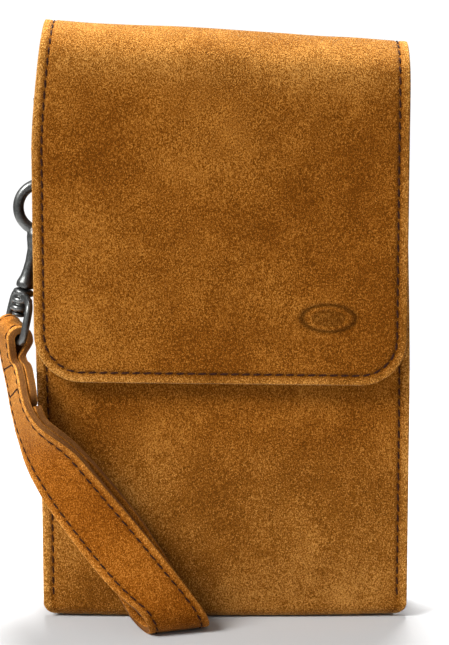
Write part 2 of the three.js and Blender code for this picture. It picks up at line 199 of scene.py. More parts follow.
def slab(name, outer, inner, materials, tone=None):
    """A closed sheet between two grids of points. Materials: outer face, cut edge, inner face."""
    rows, columns = outer.shape[:2]
    count = rows * columns
    index = np.arange(count).reshape(rows, columns)
    corners = [index[:-1, :-1], index[1:, :-1], index[1:, 1:], index[:-1, 1:]]
    top = np.stack(corners, -1).reshape(-1, 4)
    border = np.concatenate([index[0, :-1], index[:-1, -1], index[-1, :0:-1], index[:0:-1, 0]])
    after = np.roll(border, -1)
    edge = np.stack([border, after, after + count, border + count], -1)
    faces = np.concatenate([top, top[:, ::-1] + count, edge])
    slots = [0] * len(top) + [2] * len(top) + [1] * len(edge)
    points = np.concatenate([outer.reshape(-1, 3), inner.reshape(-1, 3)])
    shade = None if tone is None else np.concatenate([tone.ravel(), tone.ravel() * 0.5])
    return make(name, points, faces, materials, slots, shade)


def ring_faces(rings, sides, first=0, closed=False):
    faces = []
    for i in range(rings if closed else rings - 1):
        for k in range(sides):
            here, there = first + i * sides, first + ((i + 1) % rings) * sides
            faces.append((here + k, here + (k + 1) % sides, there + (k + 1) % sides, there + k))
    return faces


def tube(path, radii, sides=20, up=(0, 1, 0)):
    """Points and faces of a capped rod along a path; up is a direction that stays square to it."""
    path = np.asarray(path, float)
    radii = np.broadcast_to(np.asarray(radii, float), (len(path),))
    along = unit(np.gradient(path, axis=0))
    side = unit(np.cross(along, np.asarray(up, float)))
    other = np.cross(side, along)
    angle = np.linspace(0, 2 * math.pi, sides, endpoint=False)
    ring = side[:, None] * np.cos(angle)[:, None] + other[:, None] * np.sin(angle)[:, None]
    points = (path[:, None] + ring * radii[:, None, None]).reshape(-1, 3)
    faces = ring_faces(len(path), sides)
    faces += [tuple(range(sides)), tuple(range((len(path) - 1) * sides, len(path) * sides))]
    return points, faces


def turned(profile, sides=64, closed=False):
    """Points and faces of a turned piece about Z; the profile is (radius, height)."""
    profile = np.asarray(profile, float)
    angle = np.linspace(0, 2 * math.pi, sides, endpoint=False)
    circle = np.stack([np.cos(angle), np.sin(angle)], -1)
    rings = [np.column_stack([circle * max(r, 1e-3), np.full(sides, h)]) for r, h in profile]
    faces = ring_faces(len(profile), sides, closed=closed)
    if not closed:
        faces += [tuple(range(sides)), tuple(range((len(profile) - 1) * sides, len(profile) * sides))]
    return np.concatenate(rings), faces


def joined(*shells):
    points, faces, first = [], [], 0
    for shell_points, shell_faces in shells:
        points.append(shell_points)
        faces += [tuple(corner + first for corner in face) for face in shell_faces]
        first += len(shell_points)
    return np.concatenate(points), faces


def moved(shell, matrix):
    points, faces = shell
    return points @ np.array(matrix)[:3, :3].T + np.array(matrix)[:3, 3], faces


# ---------------------------------------------------------------- materials
class Nodes:
    """A short way to write a material's node tree."""

    def __init__(self, name):
        self.material = bpy.data.materials.new(name)
        self.material.use_nodes = True
        self.tree = self.material.node_tree
        self.shader = self.tree.nodes["Principled BSDF"]

    def add(self, kind, values=None, **settings):
        node = self.tree.nodes.new("ShaderNode" + kind)
        for key, value in settings.items():
            setattr(node, key, value)
        for key, value in (values or {}).items():
            self.put(node.inputs[key], value)
        return node

    def put(self, socket, value):
        if isinstance(value, bpy.types.NodeSocket):
            self.tree.links.new(value, socket)
        else:
            socket.default_value = value

    def maths(self, operation, a, b=0.0, clamp=False):
        node = self.add("Math", {0: a, 1: b}, operation=operation)
        node.use_clamp = clamp
        return node.outputs[0]

    def noise(self, place, size, detail=3.0, rough=0.55):
        """Noise whose lumps are about size mm across."""
        values = {"Vector": place, "Scale": 1 / (size * MM), "Detail": detail, "Roughness": rough}
        return self.add("TexNoise", values).outputs["Fac"]

    def place(self, stretch=(1, 1, 1)):
        rest = self.add("Attribute", attribute_name="rest").outputs["Vector"]
        return self.add("Mapping", {"Vector": rest, "Scale": stretch}).outputs["Vector"]

    def tone(self):
        return self.add("Attribute", attribute_name="tone").outputs["Fac"]

    def ramp(self, value, stops):
        node = self.add("ValToRGB", {"Fac": value})
        while len(node.color_ramp.elements) < len(stops):
            node.color_ramp.elements.new(0.5)
        for element, (place, colour) in zip(node.color_ramp.elements, stops):
            element.position = place
            element.color = (*colour, 1)
        return node.outputs["Color"]

    def mix(self, factor, a, b, blend="MIX"):
        node = self.add("Mix", data_type="RGBA", blend_type=blend)
        self.put(node.inputs["Factor"], factor)
        self.put(node.inputs[6], a)
        self.put(node.inputs[7], b)
        return node.outputs[2]

    def bump(self, height, depth, strength=1.0, normal=None):
        values = {"Height": height, "Distance": depth * MM, "Strength": strength}
        if normal is not None:
            values["Normal"] = normal
        return self.add("Bump", values).outputs["Normal"]


def linear(value):
    """The sRGB curve, from a display value out of 255."""
    return ((value / 255 + 0.055) / 1.055) ** 2.4 if value > 10 else value / 255 / 12.92


def rgb(*values):
    """Linear colour from display values out of 255."""
    return tuple(linear(value) for value in values)


def rgba(colour):
    return (*colour, 1)


WEAR_AND_LIGHT_GAIN = (2.0, 2.6, 4.6, 1)  # what a tone of 1 multiplies the suede's colour by: for worn edges and for painted highlights


def suede_material(name, dark, middle, light, strand, sheen=0.42, grain_depth=0.26):
    """Brushed hide: cloudy patches, a fine nap that lies downwards, and shaded seams."""
    n = Nodes(name)
    place = n.place()
    cloud = n.noise(place, 30, 3.0, 0.5)
    patch = n.noise(place, 6, 4.0, 0.6)
    nap = n.noise(n.place((1, 1, 0.7)), 0.42, 2.0, 0.6)
    grain = n.noise(place, 0.27, 2.0, 0.7)
    value = n.maths("MULTIPLY", cloud, 0.18)
    value = n.maths("ADD", value, n.maths("MULTIPLY", patch, 0.07))
    value = n.maths("ADD", value, n.maths("MULTIPLY", nap, 0.31))
    value = n.maths("ADD", value, n.maths("MULTIPLY", grain, 0.44))
    colour = n.ramp(value, [(0.418, dark), (0.494, middle), (0.532, light), (0.578, strand)])
    # the tone darkens towards painted shade in the stitched grooves, and lightens for worn edges and painted
    # highlights
    tone = n.tone()
    colour = n.mix(n.maths("MULTIPLY", tone, -1.0, clamp=True), colour, rgba([c * 0.25 for c in dark]))
    colour = n.mix(n.maths("MULTIPLY", tone, 1.0, clamp=True), colour, WEAR_AND_LIGHT_GAIN, "MULTIPLY")
    n.put(n.shader.inputs["Base Color"], colour)
    n.shader.inputs["Roughness"].default_value = 0.95
    n.shader.inputs["Specular IOR Level"].default_value = 0.03
    n.shader.inputs["Sheen Weight"].default_value = sheen
    n.shader.inputs["Sheen Roughness"].default_value = 0.3
    n.shader.inputs["Sheen Tint"].default_value = (1.0, 0.84, 0.46, 1)
    rough = n.bump(patch, 0.35, 0.5)
    rough = n.bump(nap, 0.32, 0.7, rough)
    n.put(n.shader.inputs["Normal"], n.bump(grain, grain_depth, 0.9, rough))
    return n.material


def plain_hide(name, dark, light, size=1.6, roughness=0.8):
    """A smoother inner hide or a cut edge, with fibres."""
    n = Nodes(name)
    place = n.place()
    broad = n.noise(place, 14, 3.0)
    fine = n.noise(place, size, 4.0, 0.7)
    value = n.maths("ADD", n.maths("MULTIPLY", broad, 0.5), n.maths("MULTIPLY", fine, 0.5))
    colour = n.ramp(value, [(0.35, dark), (0.65, light)])
    tone = n.maths("MULTIPLY", n.tone(), -1.0, clamp=True)
    n.put(n.shader.inputs["Base Color"], n.mix(tone, colour, rgba([c * 0.35 for c in dark])))
    n.shader.inputs["Roughness"].default_value = roughness
    n.shader.inputs["Specular IOR Level"].default_value = 0.2
    n.put(n.shader.inputs["Normal"], n.bump(fine, 0.14, 0.7))
    return n.material


def thread_material():
    n = Nodes("waxed_thread")
    place = n.place()
    fine = n.noise(place, 0.5, 2.0)
    n.put(n.shader.inputs["Base Color"], n.ramp(fine, [(0.35, rgb(32, 15, 8)), (0.7, rgb(72, 38, 20))]))
    n.shader.inputs["Roughness"].default_value = 0.8
    n.shader.inputs["Specular IOR Level"].default_value = 0.15
    n.put(n.shader.inputs["Normal"], n.bump(fine, 0.08, 0.6))
    return n.material


def metal_material(name, dark, light, rough_low, rough_high, scuff=0.05):
    """Plated metal with dull patches, handling marks and a soft cast surface."""
    n = Nodes(name)
    rest = n.add("TexCoord").outputs["Object"]
    blotch = n.noise(rest, 5, 3.0)
    fine = n.noise(rest, 0.6, 4.0, 0.65)
    scratch = n.noise(n.add("Mapping", {"Vector": rest, "Scale": (1, 1, 0.12)}).outputs["Vector"], 0.35, 2.0)
    value = n.maths("ADD", n.maths("MULTIPLY", blotch, 0.6), n.maths("MULTIPLY", fine, 0.4))
    n.put(n.shader.inputs["Base Color"], n.ramp(value, [(0.35, dark), (0.62, light)]))
    n.shader.inputs["Metallic"].default_value = 1.0
    spread = n.add("MapRange", {"Value": value, "From Min": 0.35, "From Max": 0.65,
                                "To Min": rough_high, "To Max": rough_low})
    n.put(n.shader.inputs["Roughness"], spread.outputs["Result"])
    n.put(n.shader.inputs["Normal"], n.bump(scratch, scuff, 0.35, n.bump(blotch, 0.25, 0.25)))
    return n.material


SUEDE_SKIN = suede_material(
    "camel_suede", rgb(89, 47, 7), rgb(120, 66, 12), rgb(147, 89, 26), rgb(185, 123, 50))
STRAP_SKIN = suede_material(
    "strap_suede", rgb(102, 52, 8), rgb(136, 74, 14), rgb(161, 94, 26), rgb(198, 127, 50), 0.16)
RAW_EDGE = plain_hide("raw_edge", rgb(98, 56, 18), rgb(156, 100, 42), 0.7, 0.95)
STRAP_EDGE = plain_hide("strap_raw_edge", rgb(98, 58, 22), rgb(150, 98, 46), 0.7, 0.95)
INNER_HIDE = plain_hide("inner_hide", rgb(92, 54, 22), rgb(128, 80, 36))
THREAD = thread_material()
GUNMETAL = metal_material("gunmetal", (0.07, 0.072, 0.07), (0.2, 0.202, 0.195), 0.32, 0.5)
SNAP_METAL = metal_material("snap_nickel", (0.3, 0.3, 0.29), (0.56, 0.55, 0.53), 0.18, 0.34, 0.03)


# ---------------------------------------------------------------- stitching
def groove(distance, seam):
    return -GROOVE * np.exp(-(((distance - seam) / GROOVE_WIDTH) ** 2))


def edge_round(distance):
    near = np.clip(EDGE_ROUND - distance, 0, EDGE_ROUND)
    return -(EDGE_ROUND - np.sqrt(EDGE_ROUND ** 2 - near ** 2))


def seam_tone(distance, seam):
    # a lighter worn band from the edge in to the seam, and painted shade along the stitched groove
    sunk = np.exp(-(((distance - seam) / 0.55) ** 2))
    worn = 1 - ease(distance, 0.4, seam)
    return 0.6 * worn - 0.5 * sunk


def stitches(path, normals, pitch=STITCH_PITCH, length=STITCH_LENGTH, radius=THREAD_RADIUS):
    """Separate stitches along a seam: each one dips into its needle holes and crowns between them."""
    path, normals = np.asarray(path, float), unit(normals)
    travel = np.concatenate([[0], np.cumsum(np.linalg.norm(np.diff(path, axis=0), axis=1))])
    count = max(1, int(round(travel[-1] / pitch)))
    step = travel[-1] / count
    share = np.linspace(0, 1, 9)
    crown = np.sin(math.pi * share)
    shells = []
    for i in range(count):
        places = (i + 0.5) * step + (share - 0.5) * length * step / pitch
        centre = np.stack([np.interp(places, travel, path[:, k]) for k in range(3)], -1)
        normal = unit(np.stack([np.interp(places, travel, normals[:, k]) for k in range(3)], -1))
        slant = unit(np.cross(normal, np.gradient(centre, axis=0))) * ((share - 0.5) * 0.28)[:, None]
        centre = centre + slant + normal * (crown ** 0.6 * 0.34 - 0.24)[:, None]
        shells.append(tube(centre, radius * (0.62 + 0.38 * crown ** 0.5), 8, normal[4]))
    return joined(*shells)


def normals_of(points, other):
    return unit(np.asarray(points) - np.asarray(other))


# ---------------------------------------------------------------- flap
MARK_AT = (33.0, 21.0)  # generic oval stamp: x, and height above the flap's end
MARK_HALF = (9.4, 4.9)
MARK_DEPTH = 0.4


def flap_inside(x, v):
    """Distance in from the flap's outline, which has round lower corners."""
    across, up = np.abs(x) - (HALF_WIDTH - FLAP_CORNER), FLAP_CORNER - v
    corner = FLAP_CORNER - np.hypot(across, up)
    return np.where((across > 0) & (up > 0), corner, np.minimum(HALF_WIDTH - np.abs(x), v))


def flap_point(x, v, depth, sign=1):
    """A point of the flap: x across, v along it from its lower edge, depth in from its outer face."""
    x, v = np.broadcast_arrays(np.asarray(x, float), np.asarray(v, float))
    angle = np.clip(math.pi - (v - FRONT_RUN) / FOLD_RADIUS, 0, math.pi)
    centre_y = FOLD_Y + FOLD_RADIUS * np.cos(angle)
    centre_z = FOLD_Z + FOLD_RADIUS * np.sin(angle)
    centre_z = centre_z + np.minimum(v - FRONT_RUN, 0) - np.maximum(v - FRONT_RUN - FOLD_RUN, 0)
    centre_y = centre_y + FLAP_SKIN * (1 - ease(angle, 0.05, 0.6))
    inside = flap_inside(x, v)
    height = -depth + sign * (groove(inside, FLAP_SEAM) * (1 if sign > 0 else 0.4) + edge_round(inside))
    flat = np.stack([x, centre_y, centre_z], -1)
    loose = ease(v, 4, 40) * (1 - ease(v, FRONT_RUN + 0.75 * FOLD_RUN, FRONT_RUN + FOLD_RUN))
    height = height + 0.45 * ripple(flat, 62, 11) * loose + 0.12 * ripple(flat, 17, 12) * loose
    pulled = ease(v, FRONT_RUN - 26, FRONT_RUN + 0.45 * FOLD_RUN)
    shift = 3.4 * pulled * ((HALF_WIDTH - x) / (2 * HALF_WIDTH)) ** 2
    point = np.stack([x + shift, centre_y + height * np.cos(angle), centre_z + height * np.sin(angle)], -1)
    return lean(point)


def flap_columns(fine):
    width = 2 * HALF_WIDTH
    zones = [(0, SEAM_ZONE), (width - SEAM_ZONE, width)]
    if fine:
        middle = HALF_WIDTH + MARK_AT[0]
        zones.insert(1, (middle - MARK_HALF[0] - 1.2, middle + MARK_HALF[0] + 1.2))
    return spaced(width, zones, FINE_STEP, 2.0) / HALF_WIDTH - 1


def flap_half_width(v):
    up = np.clip(FLAP_CORNER - v, 0, FLAP_CORNER)
    return HALF_WIDTH - FLAP_CORNER + np.sqrt(FLAP_CORNER ** 2 - up ** 2)


def stamp(x, v):
    """Depth share of the oval stamp: a pressed rim with a lower raised centre."""
    radius = np.hypot((x - MARK_AT[0]) / MARK_HALF[0], (v - MARK_AT[1]) / MARK_HALF[1])
    rim = np.exp(-(((radius - 0.86) / 0.11) ** 2))
    return np.maximum(rim, 0.55 * (1 - ease(radius, 0.5, 0.62)))


def flap_piece(name, top, depth_from, depth_to, materials, fine):
    zones = [(0, SEAM_ZONE)]
    if fine:
        zones.append((MARK_AT[1] - MARK_HALF[1] - 1.2, MARK_AT[1] + MARK_HALF[1] + 1.2))
    v = spaced(top, zones, FINE_STEP, 1.5)[:, None]
    x = flap_columns(fine)[None, :] * flap_half_width(v)
    v = np.broadcast_to(v, x.shape)
    inside = flap_inside(x, v)
    # painted highlight: the flap is made lighter over its fold, where the top light falls
    tone = seam_tone(inside, FLAP_SEAM) + 0.3 * ease(v, FRONT_RUN - 7, FRONT_RUN + 7)
    pressed = stamp(x, v) if fine else 0 * x
    outer = flap_point(x, v, depth_from + MARK_DEPTH * pressed)
    inner = flap_point(x, v, depth_to, -1)
    return slab(name, outer, inner, materials, tone - 0.7 * pressed)


def flap_seam(depth, sign):
    """The stitched line round the flap: up both sides and over the fold."""
    top = FRONT_RUN + FOLD_RUN - 4
    side = np.arange(FLAP_CORNER, top, 0.5)
    reach = HALF_WIDTH - FLAP_SEAM
    bend = np.linspace(0, math.pi / 2, 30)
    radius = FLAP_CORNER - FLAP_SEAM
    corner_x = HALF_WIDTH - FLAP_CORNER + radius * np.cos(bend)
    corner_v = FLAP_CORNER - radius * np.sin(bend)
    bottom = np.linspace(HALF_WIDTH - FLAP_CORNER, -(HALF_WIDTH - FLAP_CORNER), 160)
    edge = np.full(len(side), reach)
    x = np.concatenate([edge, corner_x, bottom, -corner_x[::-1], -edge])
    v = np.concatenate([side[::-1], corner_v, np.full(len(bottom), FLAP_SEAM), corner_v[::-1], side])
    here = flap_point(x, v, depth, sign)
    return stitches(here, normals_of(here, flap_point(x, v, depth + sign, sign)))


def make_flap():
    top = FRONT_RUN + FOLD_RUN + FLAP_TAIL
    skin = flap_piece("flap_skin", top, 0, FLAP_SKIN, [SUEDE_SKIN, RAW_EDGE, RAW_EDGE], True)
    hide = flap_piece("flap_inner_hide", FRONT_RUN + FOLD_RUN - 3, FLAP_SKIN + 0.1, FLAP_THICK,
                      [RAW_EDGE, RAW_EDGE, INNER_HIDE], False)
    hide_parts("flap_outer")
    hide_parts("flap_lining")
    seam = make("flap_stitching", *joined(flap_seam(0, 1), flap_seam(FLAP_THICK, -1)), [THREAD])
    x = np.linspace(-HALF_WIDTH + 5, HALF_WIDTH - 5, 240)
    v = np.full(len(x), FRONT_RUN + FOLD_RUN + 5.5)
    here = flap_point(x, v, 0)
    root = make("flap_root_stitching", *stitches(here, normals_of(here, flap_point(x, v, 1))), [THREAD])
    for piece in (skin, hide, seam):
        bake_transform(piece)
    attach(root, "pouch")


# ---------------------------------------------------------------- pouch
def settle(points):
    """The filled pouch sits slightly to the right of its flap near the base, with a soft belly."""
    points = np.array(points, float)
    x, y, z = points[..., 0].copy(), points[..., 1], points[..., 2]
    right = (x + HALF_WIDTH) / (2 * HALF_WIDTH)
    points[..., 0] += (1 - right) * 1.3 * (1 - ease(z, 30, 85)) + right * 1.5 * (1 - ease(z, 70, 150))
    crown = np.clip(1 - (x / HALF_WIDTH) ** 2, 0, 1)
    low = (0.45 + 0.55 * ease(z, 0, 22)) * (1 - ease(z, 48, 84))
    front = ease(-y, 0, HALF_DEPTH)
    points[..., 1] -= 2.0 * crown * low * front
    points[..., 2] += 0.7 * (np.abs(x) / HALF_WIDTH) ** 3 * (1 - ease(z, 2, 14)) * front
    return lean(points)


def wrap_rows():
    """The band's outer line (y, z) and its outward direction, from the front's top to the back's."""
    heights = spaced(MOUTH - BASE_ROUND, [(0, 1.2)], 0.2, 1.9)
    front = [(-HALF_DEPTH, MOUTH - h, -1, 0) for h in heights]
    turn = np.linspace(0, math.pi / 2, 12)[1:]
    middle = HALF_DEPTH - BASE_ROUND
    lower = [(-middle - BASE_ROUND * math.cos(a), BASE_ROUND * (1 - math.sin(a)), -math.cos(a), -math.sin(a))
             for a in turn]
    base = [(y, 0, 0, -1) for y in np.linspace(-middle, middle, 8)[1:-1]]
    rise = [(-y, z, -ny, nz) for y, z, ny, nz in reversed(lower)]
    back = [(HALF_DEPTH, z, 1, 0) for z in np.linspace(BASE_ROUND, BACK_TOP, 76)]
    return np.array(front + lower + base + rise + back)


def wrap_half_width(z):
    up = np.clip(BASE_CORNER - z, 0, BASE_CORNER)
    return HALF_WIDTH - BASE_CORNER + np.sqrt(BASE_CORNER ** 2 - up ** 2)


def wrap_point(x, row, depth, sign=1):
    y, z, ny, nz = np.moveaxis(row, -1, 0)
    inside = wrap_half_width(z) - np.abs(x)
    seam = groove(inside, BODY_SEAM) * ease(z, 3, 7)
    mouth = edge_round(np.where(ny < -0.99, MOUTH - z, 9))
    height = -depth + sign * (seam * (1 if sign > 0 else 0) + edge_round(inside) + mouth)
    flat = np.stack([x, y, z], -1)
    calm = ease(inside, 2, 16) * ease(z, 2, 14) * (1 - ease(z, 76, 90) * (ny < 0))
    height = height + (0.5 * ripple(flat, 55, 21) + 0.13 * ripple(flat, 15, 22)) * calm
    narrow = 3.0 * ease(z, 142, 175) * ((HALF_WIDTH - x) / (2 * HALF_WIDTH)) ** 2
    return settle(np.stack([x + narrow, y + ny * height, z + nz * height], -1))


def make_wrap():
    row = wrap_rows()[:, None, :]
    width = 2 * HALF_WIDTH
    seam_zones = [(0, SEAM_ZONE), (width - SEAM_ZONE, width)]
    share = spaced(width, seam_zones, FINE_STEP, 2.2) / HALF_WIDTH - 1
    x = share[None, :] * wrap_half_width(row[..., 1])
    row = np.broadcast_to(row, (*x.shape, 4))
    tone = seam_tone(wrap_half_width(row[..., 1]) - np.abs(x), BODY_SEAM)
    # painted light: the body is made lighter towards the base, where light bounced from the floor falls
    tone = tone + PAINTED_FLOOR_BOUNCE * (1 - ease(row[..., 1], 34, 66))
    outer, inner = wrap_point(x, row, 0), wrap_point(x, row, SUEDE, -1)
    body = slab("body_skin", outer, inner, [SUEDE_SKIN, RAW_EDGE, INNER_HIDE], tone)
    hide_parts("body_wrap")
    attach(body, "pouch")
    shells = []
    for side in (-1, 1):
        for y, direction, top in ((-HALF_DEPTH, -1, MOUTH - 3), (HALF_DEPTH, 1, BACK_TOP - 2)):
            z = np.arange(6.5, top, 0.5)
            line = np.stack([np.full_like(z, y), z, np.full_like(z, direction), 0 * z], -1)
            at = side * (HALF_WIDTH - BODY_SEAM) * np.ones_like(z)
            here = wrap_point(at, line, 0)
            shells.append(stitches(here, normals_of(here, wrap_point(at, line, 1))))
    seam = make("side_stitching", *joined(*shells), [THREAD])
    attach(seam, "pouch")


GUSSET = 1.1
FLANGE = 5.5
FOLD_DEPTH = 9.5


def smooth_line(points, rounds=4):
    """Rounds the corners of a line by cutting them, and keeps its ends."""
    for _ in range(rounds):
        first, last = points[:-1], points[1:]
        middle = np.stack([0.75 * first + 0.25 * last, 0.25 * first + 0.75 * last], 1).reshape(-1, 2)
        points = np.concatenate([points[:1], middle, points[-1:]])
    return points


def make_gusset(side, name):
    """A channel whose wall folds in and whose lower end narrows to follow the base."""
    outer_y = HALF_DEPTH - SUEDE - LAYER_GAP
    middle_y = outer_y - GUSSET / 2
    wall = HALF_WIDTH - FLANGE - GUSSET / 2
    low, high = SUEDE + 2 * LAYER_GAP, MOUTH - 0.5
    outside, inside = [], []
    for level in np.linspace(0, 1, 110) ** 1.5:
        fold = FOLD_DEPTH * (1 - abs(2 * level - 1) ** 5)
        z = low + (high - low) * level
        half = [(HALF_WIDTH - 0.2, -middle_y), (wall + 2.4, -middle_y), (wall, -middle_y),
                (wall - 0.16 * fold, -0.84 * middle_y), (wall - fold, 0)]
        line = smooth_line(np.array(half + [(x, -y) for x, y in half[-2::-1]]))
        along = unit(np.gradient(line, axis=0))
        normal = np.stack([along[:, 1], -along[:, 0]], -1)
        below = max(0, BASE_ROUND - z)
        inner_round = BASE_ROUND - SUEDE
        reach = HALF_DEPTH - BASE_ROUND + math.sqrt(inner_round ** 2 - below ** 2) - LAYER_GAP
        for store, offset in ((outside, GUSSET / 2), (inside, -GUSSET / 2)):
            face = line + normal * offset
            heights = np.full(len(face), z)
            store.append(np.column_stack([side * face[:, 0], face[:, 1] * reach / outer_y, heights]))
    outside, inside = np.array(outside), np.array(inside)
    from_edge = HALF_WIDTH - np.abs(outside[..., 0])
    crease = 0.28 * ripple(outside, 21, 31) * ease(from_edge, FLANGE - 1, FLANGE + 3)
    outside[..., 0] += crease
    inside[..., 0] += crease
    skin = slab(name + "_skin", settle(outside), settle(inside), [SUEDE_SKIN, RAW_EDGE, INNER_HIDE])
    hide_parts(name)
    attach(skin, "pouch")


def make_pocket():
    """The thin lining inside the wrap, and the slip pocket at its back."""
    low, high = box_mm("pocket_lining")
    half, bottom, thin, bend = high[1], low[2], 0.6, BASE_ROUND - SUEDE
    top = MOUTH - 2
    turn = np.linspace(0, math.pi / 2, 8)
    front = [(-half, z, -1, 0) for z in np.linspace(top, bottom + bend, 40)]
    curve = [
        (-half + bend - bend * math.cos(a), bottom + bend * (1 - math.sin(a)), -math.cos(a), -math.sin(a))
        for a in turn[1:]
    ]
    back = [(-y, z, -ny, nz) for y, z, ny, nz in reversed(front + curve)]
    row = np.array(front + curve + back)[:, None, :]
    x = np.linspace(low[0], high[0], 40)[None, :] + 0 * row[..., 0]
    y, z, ny, nz = np.moveaxis(np.broadcast_to(row, (*x.shape, 4)), -1, 0)
    flat = np.stack([x, y, z], -1)
    wave = 0.2 * ripple(flat, 30, 41)
    outer = lean(np.stack([x, y + ny * wave, z], -1))
    inner = lean(np.stack([x, y + ny * (wave - thin), z - nz * thin], -1))
    lining = slab("pocket_lining_cloth", outer, inner, [INNER_HIDE, RAW_EDGE, INNER_HIDE])
    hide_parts("pocket_lining")
    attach(lining, "pouch")
    low, high = box_mm("card_pocket")
    z = spaced(high[2] - low[2], [(0, 5)], 0.6, 2.5)[:, None]
    up = np.clip(BASE_CORNER - z, 0, BASE_CORNER)
    half_width = high[0] - BASE_CORNER + np.sqrt(BASE_CORNER ** 2 - up ** 2)
    x = np.linspace(-1, 1, 60)[None, :] * half_width
    z = np.broadcast_to(z, x.shape) + low[2]
    inside = np.minimum(half_width - np.abs(x), np.minimum(z - low[2], high[2] - z))
    round_off = edge_round(inside) * 0.7
    face = np.stack([x, low[1] - round_off, z], -1)
    rear = np.stack([x, high[1] + round_off, z], -1)
    pocket = slab("card_pocket_panel", face, rear, [INNER_HIDE, RAW_EDGE, INNER_HIDE])
    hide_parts("card_pocket")
    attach(pocket, "pouch")


def make_ring_tab():
    """A strip of suede doubled round the ring's bar and sewn to the gusset."""
    low, high = box_mm("ring_tab")
    centre_x, bar_z = joint_at("ring_swing")[0], joint_at("ring_swing")[2]
    outer_radius = high[0] - centre_x
    hide, tongue = 1.2, 2.4
    skived_from = 48  # the hide is a little thinner from this point of the line on
    line = [(outer_radius, z) for z in np.linspace(high[2] - bar_z, 0, 14)]
    line += [(outer_radius * math.cos(a), outer_radius * math.sin(a))
             for a in np.linspace(0, -1.5 * math.pi, 34)[1:]]
    line += [(outer_radius - tongue, z) for z in np.linspace(outer_radius + 0.8, high[2] - bar_z, 10)]
    line = np.array(line)
    along = unit(np.gradient(line, axis=0))
    inward = np.stack([along[:, 1], -along[:, 0]], -1)
    thickness = np.where(np.arange(len(line)) < skived_from, hide, hide * 0.95)[:, None]
    y = np.linspace(low[1], high[1], 26)
    inside = np.minimum(y - low[1], high[1] - y)
    off = edge_round(inside)

    def face(depth, sign):
        points = []
        for (px, pz), (nx, nz), thick in zip(line, inward, thickness[:, 0]):
            reach = depth * thick - sign * off
            points.append(np.column_stack([centre_x + px + nx * reach, y, bar_z + pz + nz * reach]))
        return np.array(points)

    tab = slab("ring_tab_strip", face(0, 1), face(1, -1), [SUEDE_SKIN, RAW_EDGE, RAW_EDGE])
    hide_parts("ring_tab")
    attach(tab, "pouch")
    shells = []
    outside_x = centre_x + outer_radius - tongue
    for height in (high[2] - 2.0, high[2] - 7.6):
        across = np.linspace(low[1] + 1.4, high[1] - 1.4, 30)
        path = np.column_stack([np.full(30, outside_x), across, np.full(30, height)])
        shells.append(stitches(path, np.tile([-1.0, 0, 0], (30, 1)), 2.4, 1.9, 0.26))
    seam = make("ring_tab_stitching", *joined(*shells), [THREAD])
    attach(seam, "pouch")


# ---------------------------------------------------------------- wrist strap
class Spline:
    """A centripetal Catmull-Rom curve through its points, read from 0 to 1."""

    def __init__(self, points):
        self.points = np.asarray(points, float)

    def at(self, u):
        points, last = self.points, len(self.points) - 1
        place = min(max(u, 0.0), 1.0) * last
        i = min(int(place), last - 1)
        t = place - i
        p1, p2 = points[i], points[i + 1]
        p0 = points[i - 1] if i > 0 else 2 * points[0] - points[1]
        p3 = points[i + 2] if i + 2 <= last else 2 * points[last] - points[last - 1]
        d0, d1, d2 = (math.sqrt(float(np.linalg.norm(b - a))) for a, b in ((p0, p1), (p1, p2), (p2, p3)))
        d1 = d1 if d1 > 0.01 else 1.0
        d0 = d0 if d0 > 0.01 else d1
        d2 = d2 if d2 > 0.01 else d1
        m1 = ((p1 - p0) / d0 - (p2 - p0) / (d0 + d1) + (p2 - p1) / d1) * d1
        m2 = ((p2 - p1) / d1 - (p3 - p1) / (d1 + d2) + (p3 - p2) / d2) * d1
        a, b = p2 - p1, -3 * p1 + 3 * p2 - 2 * m1 - m2
        return p1 + m1 * t + b * t ** 2 + (m1 + m2 - 2 * a) * t ** 3

    def tangent(self, u):
        return unit(self.at(min(1, u + 1e-4)) - self.at(max(0, u - 1e-4)))


BAR_CENTRE = joint_at("strap_swing")
BAR_DIRECTION = -joint_axis("strap_swing")
LEG_START = np.array([0.15, 0, -1])
LEG_START = unit(LEG_START - BAR_DIRECTION * (LEG_START @ BAR_DIRECTION))
FACE_START = np.cross(LEG_START, BAR_DIRECTION)
FOLD_FRONT = BAR_CENTRE - 0.8 * LEG_START + STRAP_BEND * FACE_START
STATIONS = [
    [FOLD_FRONT, BAR_DIRECTION],
    [FOLD_FRONT + 6 * LEG_START, BAR_DIRECTION],
    [[-64.0, -8.6, 76.2], [5.2, -17.0, 7.6]],
    [[-61.3, -16.0, 67.2], [5.2, -16.2, 6.6]],
    [[-58.0, -20.8, 61.0], [7.2, -15.2, 7.4]],
    [[-50.6, -23.6, 51.5], [14.1, -8.4, 8.7]],
    [[-44.4, -24.8, 42.7], [15.5, -4.4, 8.8]],
    [[-34.6, -26.6, 30.3], [16, -1.2, 9.5]],
    [[-24.6, -29.2, 18.4], [17.5, 1.6, 6.5]],
    [[-15.9, -31.2, 8.83], [18.3, 5.6, 0.6]],
]
LEG_PATH = Spline([centre for centre, _ in STATIONS])
LEG_TURN = Spline([unit(across) for _, across in STATIONS])


def leg_section(u):
    across = unit(LEG_TURN.at(u))
    return LEG_PATH.at(u), across, unit(np.cross(LEG_PATH.tangent(u), across))


def behind(u):
    """The layer behind the front leg: round the bar, flat against it, then opening out."""
    centre, across, face = leg_section(u)
    closing = (2 * STRAP_BEND - STRAP_THICK - LAYER_GAP) * (1 - ease(u, 0.02, 0.1))
    opening = (LEG_GAP - STRAP_THICK - LAYER_GAP) * ease(u, 0.42, 1) ** 0.8
    sideways = LEG_SIDESTEP * ease(u, RETURN_END, 0.42) * (1 - ease(u, 0.5, 0.8))
    distance = STRAP_THICK + LAYER_GAP + closing + opening
    return centre - face * distance - across * sideways, across, -face


def half_turn(start, face, down, across, radius, skew, count):
    sections = []
    for i in range(1, count):
        angle = math.pi * i / count
        centre = start + radius * (face * (math.cos(angle) - 1) + (down + across * skew) * math.sin(angle))
        sections.append((centre, across, face * math.cos(angle) + down * math.sin(angle)))
    return sections


